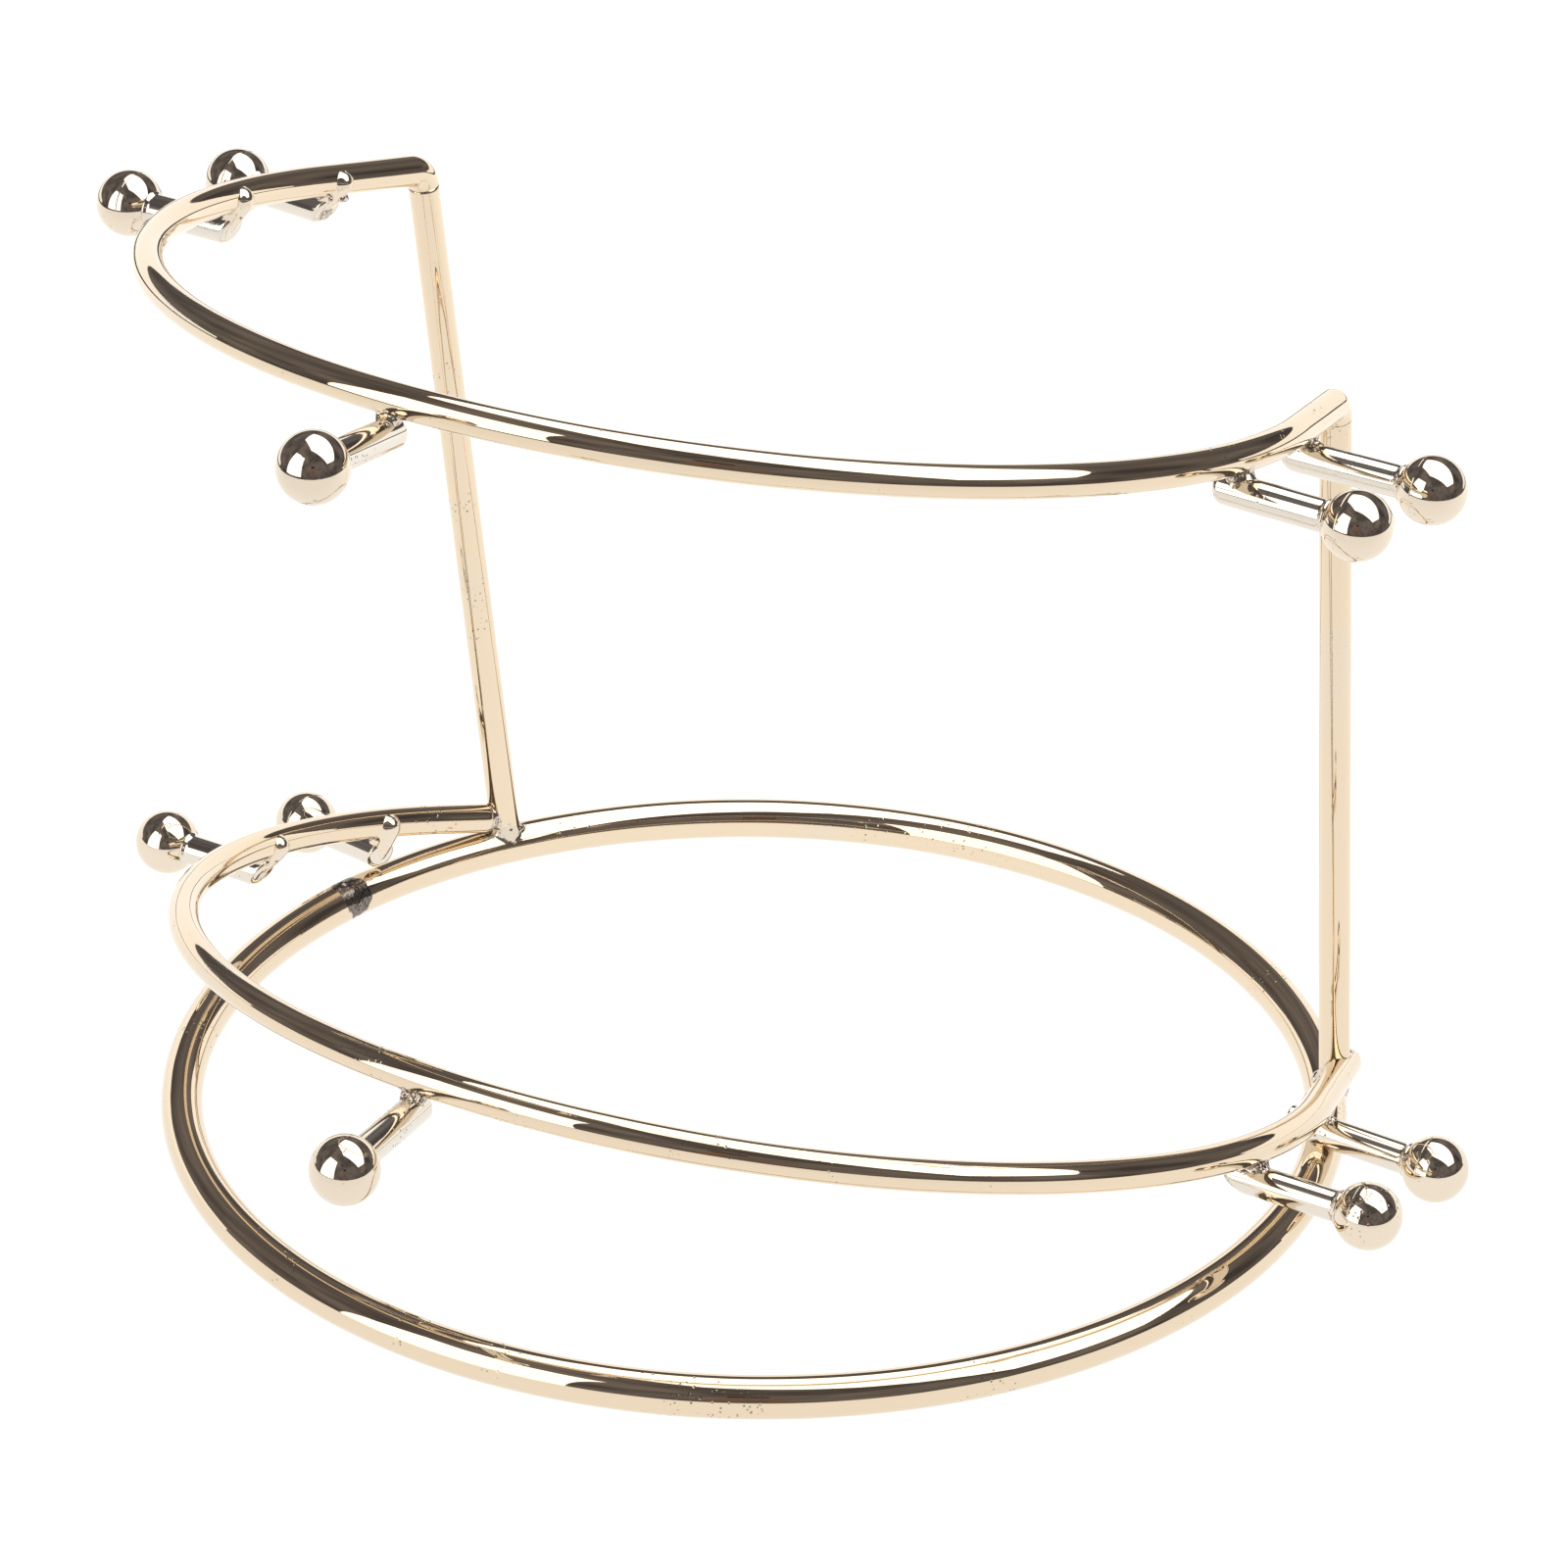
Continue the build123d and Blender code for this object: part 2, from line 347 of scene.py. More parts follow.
# each peg's inner end: the slant of its cut in degrees, the rounding of its edge in millimetres and
# how far it runs past the bow in millimetres
PEG_ENDS = {
    "upper_left_rear": (32.0, 1.1, 1.2),
    "upper_left_front": (22.0, 1.0, 2.0),
    "upper_right_rear": (16.0, 2.2, 4.8),
    "upper_right_front": (10.0, 1.5, 4.4),
    "upper_front": (0.0, 0.5, 1.8),
    "lower_left_rear": (16.0, 1.1, 2.4),
    "lower_left_front": (28.0, 0.9, 1.4),
    "lower_right_rear": (6.0, 0.4, 6.0),
    "lower_right_front": (42.0, 0.35, 6.4),
    "lower_front": (0.0, 0.6, 2.4),
}
COLLAR_OUT = 0.42 * MM  # how far the flare at the ball stands out of the rod
COLLAR_LONG = 0.75 * MM
COLLAR_IN_BALL = 0.3 * MM  # how far the rod and its collar go on inside the ball
ROD_UNEVEN = 0.012 * MM


def peg_rod(peg):
    """A rod with its slanting, rounded inner end, flaring into a narrow collar at the ball."""
    around = 56
    rounding = peg.rounding
    lean = math.tan(math.radians(peg.slant))
    reach = peg.length - math.sqrt(peg.ball_r**2 - WIRE_R**2) + COLLAR_IN_BALL
    rows = [(0.0, WIRE_R * share) for share in (0.02, 0.35, 0.7)]
    rows = [(s, r) for s, r in rows if r < WIRE_R - rounding]
    for turn in np.linspace(0, math.pi / 2, 9):
        set_back = rounding * (1 - math.cos(turn))
        rows.append((set_back, WIRE_R - rounding + rounding * math.sin(turn)))
    start = rows[-1][0]
    collar_start = reach - COLLAR_LONG - COLLAR_IN_BALL
    for share in np.linspace(0, 1, 40)[1:]:
        rows.append((start + (collar_start - start) * share, WIRE_R))
    for share in np.linspace(0, 1, 12)[1:]:
        flare = COLLAR_OUT * math.sin(math.pi * min(1.0, share * 0.72)) ** 1.5
        rows.append((collar_start + (reach - collar_start) * share, WIRE_R + flare))
    at = np.array([r[0] for r in rows])
    size = np.array([r[1] for r in rows])
    angles = np.arange(around) * 2 * math.pi / around
    height = size[:, None] * np.cos(angles)[None]
    share = np.clip((at - start) / (collar_start - start), 0, 1)
    offset = at[:, None] + (WIRE_R - height) * lean * (1 - share)[:, None]
    up, out = np.array(peg.up), np.array(peg.out)
    across = np.cross(out, up)
    radial = up * np.cos(angles)[:, None] + across * np.sin(angles)[:, None]
    grid = np.array(peg.inner) + out * offset[..., None] + radial[None] * size[:, None, None]
    grid = grid + radial[None] * (ripple(grid, 120.0, 3) * ROD_UNEVEN)[..., None]
    return grid_object(f"rod_{peg.label}", grid, at, 2 * math.pi * WIRE_R)


SEAM_AT = 0.24  # where the groove round a ball lies, as a share of its radius towards the rod
SEAM_DEEP = 0.055 * MM
BALL_UNEVEN = 0.010 * MM


def ball(peg):
    """A ball with a hairline groove square to the rod, uneven in depth."""
    around = 128
    groove = math.acos(SEAM_AT)
    even = np.linspace(0.004, math.pi - 0.004, 110)
    at_groove = groove + np.linspace(-0.03, 0.03, 13)
    polar = np.sort(np.concatenate([even, at_groove]))
    back = -np.array(peg.out)
    side = np.cross(back, (0.3, 0.2, 0.9))
    side /= np.linalg.norm(side)
    other = np.cross(back, side)
    angles = np.arange(around) * 2 * math.pi / around
    circle = side * np.cos(angles)[:, None] + other * np.sin(angles)[:, None]
    out = back * np.cos(polar)[:, None, None] + circle[None] * np.sin(polar)[:, None, None]
    centre = np.array(peg.ball)
    skin = centre + out * peg.ball_r
    cut = np.exp(-(((polar - groove) / 0.011) ** 2))[:, None]
    depth = SEAM_DEEP * cut * np.clip(0.75 + 0.5 * ripple(skin, 130.0, 4), 0.1, 1.2)
    swell = ripple(skin, 90.0, 5) * BALL_UNEVEN
    grid = skin + out * (swell - depth)[..., None]
    return grid_object(f"ball_{peg.label}", grid, polar * peg.ball_r, 2 * math.pi * peg.ball_r)


# ---------------------------------------------------------------- welds
def distance_to_path(points, path):
    """Distance from each point to the nearest place on a polyline."""
    best = np.full(len(points), np.inf)
    corners = np.array([tuple(p) for p in path])
    for a, b in zip(corners[:-1], corners[1:]):
        run = b - a
        share = np.clip((points - a) @ run / run.dot(run), 0, 1)
        best = np.minimum(best, np.linalg.norm(points - a - share[:, None] * run, axis=1))
    return best


def blend(a, b, width):
    """The smaller of two distances, rounded off where they meet."""
    mix = np.clip(0.5 + 0.5 * (b - a) / width, 0, 1)
    return b + (a - b) * mix - width * mix * (1 - mix)


def surface_net(values, low, cell):
    """Vertices and quads of the surface where a grid of values passes through zero."""
    inside = values < 0
    counts = np.zeros([n - 1 for n in values.shape])
    sums = np.zeros([n - 1 for n in values.shape] + [3])
    base = np.stack(np.meshgrid(*[np.arange(n - 1) for n in values.shape], indexing="ij"), -1)
    offsets = [(x, y, z) for x in (0, 1) for y in (0, 1) for z in (0, 1)]

    def corner_of(offset, source):
        """The values at one corner of every cell."""
        return source[tuple(slice(o, n - 1 + o) for o, n in zip(offset, source.shape))]

    for first in offsets:
        for axis in range(3):
            if first[axis]:
                continue
            second = list(first)
            second[axis] = 1
            a, b = corner_of(first, values), corner_of(second, values)
            cross = (a < 0) != (b < 0)
            share = np.where(cross, a / np.where(cross, a - b, 1.0), 0.0)
            place = base + np.array(first, float)
            place[..., axis] += share
            sums += place * cross[..., None]
            counts += cross
    used = counts > 0
    index = np.full(used.shape, -1)
    index[used] = np.arange(used.sum())
    verts = low + sums[used] / counts[used][:, None] * cell
    quads = []
    for axis in range(3):
        u, v = (axis + 1) % 3, (axis + 2) % 3
        a = inside[tuple(slice(0, -1) if d == axis else slice(None) for d in range(3))]
        b = inside[tuple(slice(1, None) if d == axis else slice(None) for d in range(3))]
        where = np.argwhere(a != b)
        inner = (where[:, u] > 0) & (where[:, v] > 0)
        inner &= (where[:, u] < inside.shape[u] - 1) & (where[:, v] < inside.shape[v] - 1)
        where = where[inner]
        around = []
        for du, dv in ((-1, -1), (0, -1), (0, 0), (-1, 0)):
            at = where.copy()
            at[:, u] += du
            at[:, v] += dv
            around.append(index[tuple(at.T)])
        quad = np.stack(around, 1)
        turned = a[tuple(where.T)]
        quads.append(np.where(turned[:, None], quad, quad[:, ::-1]))
    return verts, np.vstack(quads)


WELD_CELL = 0.16 * MM  # grid that a weld's skin is cut from
SKIN = 0.13 * MM  # how far a weld's skin stands off the wires at its middle


def weld_skin(
    centre, reach, wires, lumps, fillet, wrinkle, seed, rough_at=None, cover=0.58, lump_fillet=0.9 * MM
):
    """Weld metal round crossing wires: fillets between them, lumps and wrinkles.

    wires are (path, radius) and lumps (centre, radius). The skin lies just outside the wires at the
    centre and sinks into them at the share cover of its reach. It is wrinkled about rough_at, or
    about the centre.
    """
    count = int(2 * reach / WELD_CELL) + 1
    low = np.array(centre) - reach
    axes = [low[d] + np.arange(count) * WELD_CELL for d in range(3)]
    points = np.stack(np.meshgrid(*axes, indexing="ij"), -1).reshape(-1, 3)
    field = None
    for path, radius in wires:
        gap = distance_to_path(points, path) - radius
        field = gap if field is None else blend(field, gap, fillet)
    for lump_centre, size in lumps:
        gap = np.linalg.norm(points - np.array(lump_centre), axis=1) - size
        field = blend(field, gap, lump_fillet)
    away = np.linalg.norm(points - np.array(centre), axis=1) / reach
    uneven = ripple(points, 420.0, seed) + 0.45 * ripple(points, 1000.0, seed + 1)
    skin = SKIN * np.maximum(1 - (away / cover) ** 2, -3.0)
    rough_away = np.linalg.norm(points - np.array(rough_at or centre), axis=1)
    skin += wrinkle * uneven * np.clip(1.5 - rough_away / (0.45 * reach), 0.08, 1)
    field = np.maximum(field - skin, (away - 0.97) * reach)
    return surface_net(field.reshape(count, count, count), low, WELD_CELL)


def weld_object(name, skins):
    """One object from several skins."""
    verts, faces, start = [], [], 0
    for skin_verts, skin_faces in skins:
        verts.append(skin_verts)
        faces.append(skin_faces + start)
        start += len(skin_verts)
    verts, faces = np.vstack(verts), np.vstack(faces)
    face_uvs = verts[faces.ravel()][:, :2]
    return mesh_object(name, verts, faces.tolist(), face_uvs)


def bow_stretch(bow, index):
    """Every third point of a bow near the one with that index."""
    return bow[max(0, index - 15) : index + 16 : 3]


def ring_stretch(place, half):
    """Every third point of the ring, to half points each side of the one nearest to a place."""
    index = min(range(len(ring_points)), key=lambda i: (ring_points[i] - place).length)
    return [ring_points[(index + k) % len(ring_points)] for k in range(-half, half + 1, 3)]


def beads_between(a, b, size, count=7):
    """A row of overlapping round lumps from a to b."""
    return [(a.lerp(b, k / (count - 1)), size) for k in range(count)]


PEG_WELD_REACH = 5.8 * MM
ROD_ALONG = 7.0 * MM  # how far along the rod a peg's weld may lie
LONG_TAIL = 4 * MM  # rods that run further than this past the bow have a row of beads over them


def peg_weld(peg, bow, seed):
    """The rough weld between a bow and its peg: a ring of beads, and a row of them over a long tail."""
    source = np.random.default_rng(seed)
    along = (bow[peg.index + 1] - peg.bow_point).normalized()
    contact = peg.bow_point.lerp(peg.under_bow, 0.5)
    near = bow_stretch(bow, peg.index)
    tail = peg.tail - peg.rounding - 0.6 * MM
    rod = [peg.under_bow - peg.out * (tail - WIRE_R * 0.9), peg.under_bow + peg.out * ROD_ALONG]
    lumps = []
    beads = 8
    for k in range(beads):
        angle = 2 * math.pi * (k + source.uniform(-0.35, 0.35)) / beads
        spread = source.uniform(1.6, 2.7) * MM
        spot = contact + (along * math.cos(angle) + peg.out * math.sin(angle)) * spread
        spot += peg.up * source.uniform(-0.6, 0.4) * MM
        lumps.append((spot, source.uniform(0.35, 0.8) * MM))
    if peg.tail > LONG_TAIL:
        top = peg.bow_point - peg.out * 2.3 * MM - peg.up * 0.6 * MM
        low = peg.under_bow - peg.out * (peg.tail - 2.6 * MM) + peg.up * 1.6 * MM
        lumps += beads_between(top, low, source.uniform(1.0, 1.3) * MM)
    wires = [(near, WIRE_R), (rod, WIRE_R)]
    centre = contact - peg.out * 0.8 * MM
    rough_at = contact + peg.out * 1.4 * MM
    cover = 0.40 if "left" in peg.label else 0.58  # a web hides the rest of a left peg's weld
    return weld_skin(
        centre, PEG_WELD_REACH, wires, lumps,
        fillet=1.5 * MM, wrinkle=0.14 * MM, seed=seed, rough_at=rough_at, cover=cover,
    )


WEB_REACH = 6.4 * MM
WEB_KNOB = 2.15 * MM  # radius of the knob on a bow's inner side where a web starts
WEB_TOE = 2.05 * MM  # radius of the web where it ends over the rod


def peg_web(peg, bow, seed):
    """A smooth web from a knob on the bow's inner side down over the rod's inner end."""
    lean = math.tan(math.radians(peg.slant))
    top = peg.bow_point - peg.out * 2.4 * MM + peg.up * 0.1 * MM
    tip = peg.tail - 2 * WIRE_R * lean
    low = peg.under_bow - peg.out * (tip - 1.5 * MM) - peg.up * 0.4 * MM
    count = 9
    lumps = []
    for k in range(count):
        share = k / (count - 1)
        lumps.append((top.lerp(low, share), WEB_KNOB + (WEB_TOE - WEB_KNOB) * share))
    rod = [low + peg.out * 1.5 * MM, peg.under_bow + peg.out * ROD_ALONG]
    wires = [(bow_stretch(bow, peg.index), WIRE_R), (rod, WIRE_R)]
    centre = top.lerp(low, 0.45)
    return weld_skin(
        centre, WEB_REACH, wires, lumps,
        fillet=0.5 * MM, wrinkle=0.03 * MM, seed=seed, rough_at=centre, cover=0.62, lump_fillet=0.7 * MM,
    )


FOOT_WELD_REACH = 7.6 * MM
FOOT_START = {-1: RING_WIRE_R - 0.5 * MM, 1: 1.5 * MM}  # an upright's lower end, over the ring wire's centre


def foot_weld(side):
    """The weld where the ring, an upright and the lower bow meet."""
    source = np.random.default_rng(40 + side)
    base, axis = feet[side], axes[side]
    upright = [base + axis * FOOT_START[side], base + axis * 20 * MM]
    bow = lower_points[-22:-2] if side > 0 else lower_points[6:22]
    lumps = []
    beads = 9
    for k in range(beads):
        angle = 2 * math.pi * (k + source.uniform(-0.3, 0.3)) / beads
        ring_out = Vector((math.cos(angle), math.sin(angle), 0)) * 2.5 * MM
        spot = base + axis * RING_WIRE_R * source.uniform(0.9, 1.15) + ring_out
        lumps.append((spot, source.uniform(0.4, 0.8) * MM))
    joint = bow[-1 if side > 0 else 0].lerp(lower_meetings[side], 0.5)
    for _ in range(6):
        offset = Vector(source.uniform(-1, 1, 3)) * 1.6 * MM
        lumps.append((joint + offset + Vector((0, 0, 1.8 * MM)), source.uniform(0.5, 1.0) * MM))
    wires = [
        (ring_stretch(base, 15), RING_WIRE_R),
        (upright, WIRE_R - 0.1 * MM),
        (bow, WIRE_R - 0.05 * MM),
    ]
    centre = base.lerp(lower_meetings[side], 0.7)
    return weld_skin(
        centre, FOOT_WELD_REACH, wires, lumps, fillet=1.1 * MM, wrinkle=0.10 * MM, seed=60 + side
    )


RING_SEAM_REACH = 5.2 * MM
RING_SEAM_HEADING = 170.0  # degrees round the ring from the X axis, where its wire's ends are joined


def ring_seam():
    """The ring's own butt weld: a low swelling with a few spatters, mostly on its upper side."""
    source = np.random.default_rng(80)
    angle = math.radians(RING_SEAM_HEADING)
    centre = Vector((RING_R * math.cos(angle), RING_R * math.sin(angle), RING_WIRE_R))
    radial = Vector((math.cos(angle), math.sin(angle), 0))
    lumps = []
    beads = 9
    for k in range(beads):
        turn = 2 * math.pi * (k + source.uniform(-0.4, 0.4)) / beads
        out = radial * math.cos(turn) + Vector((0, 0, 1)) * math.sin(turn)
        if out.z > -0.4:
            lumps.append((centre + out * 3.4 * MM, source.uniform(0.5, 0.95) * MM))
    wires = [(ring_stretch(centre, 9), RING_WIRE_R)]
    top = centre + Vector((0, 0, 1)) * 1.6 * MM - radial * 1.0 * MM
    return weld_skin(
        top, RING_SEAM_REACH, wires, lumps,
        fillet=1.0 * MM, wrinkle=0.14 * MM, seed=81, rough_at=centre, cover=0.90,
    )


# ---------------------------------------------------------------- materials
def add_node(tree, kind, x, y, **values):
    """A node of that kind at (x, y) in the tree, with the given properties."""
    made = tree.nodes.new(kind)
    made.location = (x, y)
    for key, value in values.items():
        setattr(made, key, value)
    return made


class Shading:
    """Small helper that adds texture and arithmetic nodes to one material."""

    def __init__(self, name):
        self.material = bpy.data.materials.new(name)
        self.material.use_nodes = True
        self.tree = self.material.node_tree
        self.tree.nodes.clear()
        self.link = self.tree.links.new
        self.place = add_node(self.tree, "ShaderNodeTexCoord", -1400, 0).outputs["Object"]
        length = add_node(self.tree, "ShaderNodeUVMap", -1400, -600, uv_map="length")
        self.length = length.outputs["UV"]

    def noise(self, scale, detail, x, y, source=None):
        """Smooth noise over the object's coordinates, or over the given ones."""
        made = add_node(self.tree, "ShaderNodeTexNoise", x, y)
        made.inputs["Scale"].default_value = scale
        made.inputs["Detail"].default_value = detail
        self.link(source or self.place, made.inputs["Vector"])
        return made.outputs["Fac"]

    def stretched(self, along, across, turn, x, y):
        """Coordinates along and around the wire, scaled for streaks or scratches."""
        made = add_node(self.tree, "ShaderNodeMapping", x, y)
        made.inputs["Scale"].default_value = (along, across, 1.0)
        made.inputs["Rotation"].default_value = (0.0, 0.0, turn)
        self.link(self.length, made.inputs["Vector"])
        return made.outputs["Vector"]

    def ramp(self, source, low, high, x, y, dark=0.0, light=1.0):
        """Value that goes from dark to light while the source goes from low to high."""
        made = add_node(self.tree, "ShaderNodeMapRange", x, y)
        made.inputs["From Min"].default_value = low
        made.inputs["From Max"].default_value = high
        made.inputs["To Min"].default_value = dark
        made.inputs["To Max"].default_value = light
        self.link(source, made.inputs["Value"])
        return made.outputs["Result"]

    def maths(self, operation, a, b, x, y):
        """One arithmetic step between sockets or numbers."""
        made = add_node(self.tree, "ShaderNodeMath", x, y, operation=operation)
        for socket, value in zip(made.inputs, (a, b)):
            if isinstance(value, (int, float)):
                socket.default_value = value
            else:
                self.link(value, socket)
        return made.outputs["Value"]

    def mix(self, factor, a, b, x, y):
        """Colour between a and b, by the factor."""
        made = add_node(self.tree, "ShaderNodeMix", x, y, data_type="RGBA")
        for name, value in (("A", a), ("B", b)):
            socket = next(s for s in made.inputs if s.name == name and s.type == "RGBA")
            if isinstance(value, tuple):
                socket.default_value = (*value, 1.0)
            else:
                self.link(value, socket)
        self.link(factor, next(s for s in made.inputs if s.name == "Factor" and s.type == "VALUE"))
        return next(s for s in made.outputs if s.type == "RGBA")


def plated_metal(name, tint, worn_tint, roughness, wear, pits, dull=0.0, spread=0.58):
    """Polished plating with draw lines, scratches, pits and patches where it has worn thin.

    wear and pits are the strengths of the worn patches and of the pits, and dull the roughness that
    wear adds. spread is the level of the patch noise above which the plating is worn: lower is wider.
    """
    s = Shading(name)
    output = add_node(s.tree, "ShaderNodeOutputMaterial", 1200, 0)
    shader = add_node(s.tree, "ShaderNodeBsdfPrincipled", 900, 0)
    shader.inputs["Metallic"].default_value = 1.0
    s.link(shader.outputs["BSDF"], output.inputs["Surface"])

    # worn patches: large and soft, broken up by fine grain
    patch = s.ramp(s.noise(38.0, 3.0, -1100, 500), spread, spread + 0.1, -900, 500)
    grain = s.ramp(s.noise(2400.0, 2.0, -1100, 300), 0.47, 0.58, -900, 300)
    worn = s.maths("MULTIPLY", s.maths("MULTIPLY", patch, grain, -700, 400), wear, -550, 400)

    # pits: small cells, only where a coarse noise allows them
    cells = add_node(s.tree, "ShaderNodeTexVoronoi", -1100, 0, feature="F1")
    cells.inputs["Scale"].default_value = 900.0
    s.link(s.place, cells.inputs["Vector"])
    pit = s.ramp(cells.outputs["Distance"], 0.12, 0.26, -900, 0, 1.0, 0.0)
    allowed = s.ramp(s.noise(62.0, 2.0, -1100, -200), 0.60, 0.67, -900, -200)
    pit = s.maths("MULTIPLY", s.maths("MULTIPLY", pit, allowed, -700, -100), pits, -550, -100)

    # draw lines run along the wire, scratches cross it
    lines = s.noise(1.0, 2.0, -1000, -600, s.stretched(14.0, 1500.0, 0.0, -1200, -600))
    fine = s.noise(1.0, 2.0, -1000, -700, s.stretched(60.0, 6000.0, 0.0, -1200, -700))
    cross = s.noise(1.0, 2.0, -1000, -850, s.stretched(900.0, 120.0, 0.5, -1200, -850))
    marks = s.ramp(cross, 0.68, 0.76, -800, -850)

    colour = s.mix(worn, tint, worn_tint, 500, 300)
    dark_pit = s.maths("MULTIPLY", pit, 0.9, 300, 50)
    s.link(s.mix(dark_pit, colour, (0.07, 0.05, 0.035), 700, 200), shader.inputs["Base Color"])

    smudge = s.ramp(s.noise(110.0, 4.0, -300, 100), 0.3, 0.75, -100, 100, roughness * 0.5, roughness * 1.6)
    rough = s.maths("ADD", smudge, s.maths("MULTIPLY", worn, 0.14 + dull, 100, -50), 300, -50)
    rough = s.maths("ADD", rough, s.maths("MULTIPLY", pit, 0.35, 100, -200), 450, -50)
    s.link(rough, shader.inputs["Roughness"])

    # relief, as shares of the bump's distance
    height = s.maths("MULTIPLY", s.noise(150.0, 1.0, -300, -350), 0.55, -100, -350)
    height = s.maths("ADD", height, s.maths("MULTIPLY", lines, 0.075, -300, -550), 50, -400)
    height = s.maths("ADD", height, s.maths("MULTIPLY", fine, 0.012, -300, -620), 120, -400)
    height = s.maths("SUBTRACT", height, s.maths("MULTIPLY", marks, 0.05, -300, -700), 200, -450)
    height = s.maths("SUBTRACT", height, s.maths("MULTIPLY", pit, 1.6, -300, -850), 350, -500)
    height = s.maths("ADD", height, s.maths("MULTIPLY", worn, 0.16, -300, -1000), 500, -550)
    bump = add_node(s.tree, "ShaderNodeBump", 700, -400)
    bump.inputs["Strength"].default_value = 1.0
    bump.inputs["Distance"].default_value = 0.02 * MM
    s.link(height, bump.inputs["Height"])
    s.link(bump.outputs["Normal"], shader.inputs["Normal"])
    return s.material


CHAMPAGNE = (0.800, 0.665, 0.495)
SILVER_GOLD = (0.790, 0.690, 0.555)
PALE_SILVER = (0.77, 0.71, 0.62)
WEB_GOLD = (0.79, 0.69, 0.56)
WELD_GOLD = (0.70, 0.62, 0.52)
WELD_SCALE = (0.20, 0.17, 0.15)
SCORCHED = (0.26, 0.22, 0.19)
SOOT = (0.09, 0.08, 0.075)
NICKEL = (0.70, 0.67, 0.63)
wire_metal = plated_metal("wire_plating", CHAMPAGNE, NICKEL, roughness=0.03, wear=0.5, pits=0.8)
peg_metal = plated_metal("peg_plating", PALE_SILVER, NICKEL, roughness=0.05, wear=1.0, pits=1.0, dull=0.1)
ball_metal = plated_metal("ball_plating", SILVER_GOLD, NICKEL, roughness=0.025, wear=0.4, pits=0.8)
seam_metal = plated_metal(
    "seam_plating", SCORCHED, SOOT, roughness=0.12, wear=1.0, pits=1.0, dull=0.2, spread=0.35
)
web_metal = plated_metal("web_plating", WEB_GOLD, NICKEL, roughness=0.05, wear=0.5, pits=0.8, dull=0.1)
weld_metal = plated_metal(
    "weld_plating", WELD_GOLD, WELD_SCALE, roughness=0.07, wear=1.0, pits=1.0, dull=0.15, spread=0.40
)


def fitted(piece, material, slot, *nodes):
    """Gives a piece its material, and puts it in place of the frame's nodes."""
    piece.data.materials.clear()
    piece.data.materials.append(material)
    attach(piece, "root")
    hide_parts(*nodes)


# ---------------------------------------------------------------- the stand
fitted(wire("ring", ring_points, RING_WIRE_R, closed=True), wire_metal, "wire_plating", "base_ring")
TOP_ROUNDING = {-1: 0.0, 1: 0.25 * MM}  # the butt seam under the right bend shows as a fine groove
FOOT_ROUNDING = 1.3 * MM
LEFT_TIP_CUT = 5  # path points that the lower bow stops short of the left upright's axis
LEFT_TIP_ROUNDING = 1.1 * MM
RIGHT_TIP_ROUNDING = 2.9 * MM
lower_path = lower_points[LEFT_TIP_CUT:]
lower = wire("bow_lower", lower_path, WIRE_R, False, LEFT_TIP_ROUNDING, RIGHT_TIP_ROUNDING)
fitted(lower, wire_metal, "wire_plating", "lower_bow")
fitted(wire("bow_upper", upper_points, WIRE_R), wire_metal, "wire_plating", "upper_bow")
for side, name in SIDES.items():
    start = feet[side] + axes[side] * FOOT_START[side]
    path = straight(start, seams[side]) + [seams[side]]
    upright = wire(f"post_{name}", path, WIRE_R, False, FOOT_ROUNDING, TOP_ROUNDING[side])
    fitted(upright, wire_metal, "wire_plating", f"{name}_upright")

PLACES = ("left_rear", "left_front", "right_rear", "right_front", "front")
TIERS = (("lower", lower_plane, lower_points), ("upper", upper_plane, upper_points))
for tier_number, (tier, plane, bow) in enumerate(TIERS):
    skins, webs = [], []
    for place_number, place in enumerate(PLACES):
        peg = Peg(tier, place, plane, bow)
        fitted(peg_rod(peg), peg_metal, "peg_plating", f"{peg.label}_peg")
        fitted(ball(peg), ball_metal, "ball_plating", f"{peg.label}_ball")
        skins.append(peg_weld(peg, bow, 100 + 10 * tier_number + place_number))
        if "left" in place:
            webs.append(peg_web(peg, bow, 140 + 10 * tier_number + place_number))
    welds = weld_object(f"welds_{tier}_pegs", skins)
    fitted(welds, weld_metal, "weld_plating", f"{tier}_peg_welds")
    fitted(weld_object(f"webs_{tier}_pegs", webs), web_metal, "weld_plating", f"{tier}_peg_welds")
foot_welds = weld_object("welds_feet", [foot_weld(-1), foot_weld(1)])
fitted(foot_welds, weld_metal, "weld_plating", "foot_welds")
fitted(weld_object("weld_ring_seam", [ring_seam()]), seam_metal, "weld_plating", "foot_welds")


# ---------------------------------------------------------------- stage
def staged(made, material, camera=True, glossy=True, diffuse=True):
    """Adds an object to the stage, seen only by the named kinds of rays."""
    made.data.materials.append(material)
    made.visible_camera = camera
    made.visible_glossy = glossy
    made.visible_diffuse = diffuse
    made.visible_shadow = False


def glow(name, colour, strength):
    """A plain light-giving material."""
    material = bpy.data.materials.new(name)
    material.use_nodes = True
    tree = material.node_tree
    tree.nodes.clear()
    output = add_node(tree, "ShaderNodeOutputMaterial", 200, 0)
    shader = add_node(tree, "ShaderNodeEmission", 0, 0)
    shader.inputs["Color"].default_value = (*colour, 1.0)
    shader.inputs["Strength"].default_value = strength
    tree.links.new(shader.outputs["Emission"], output.inputs["Surface"])
    return material


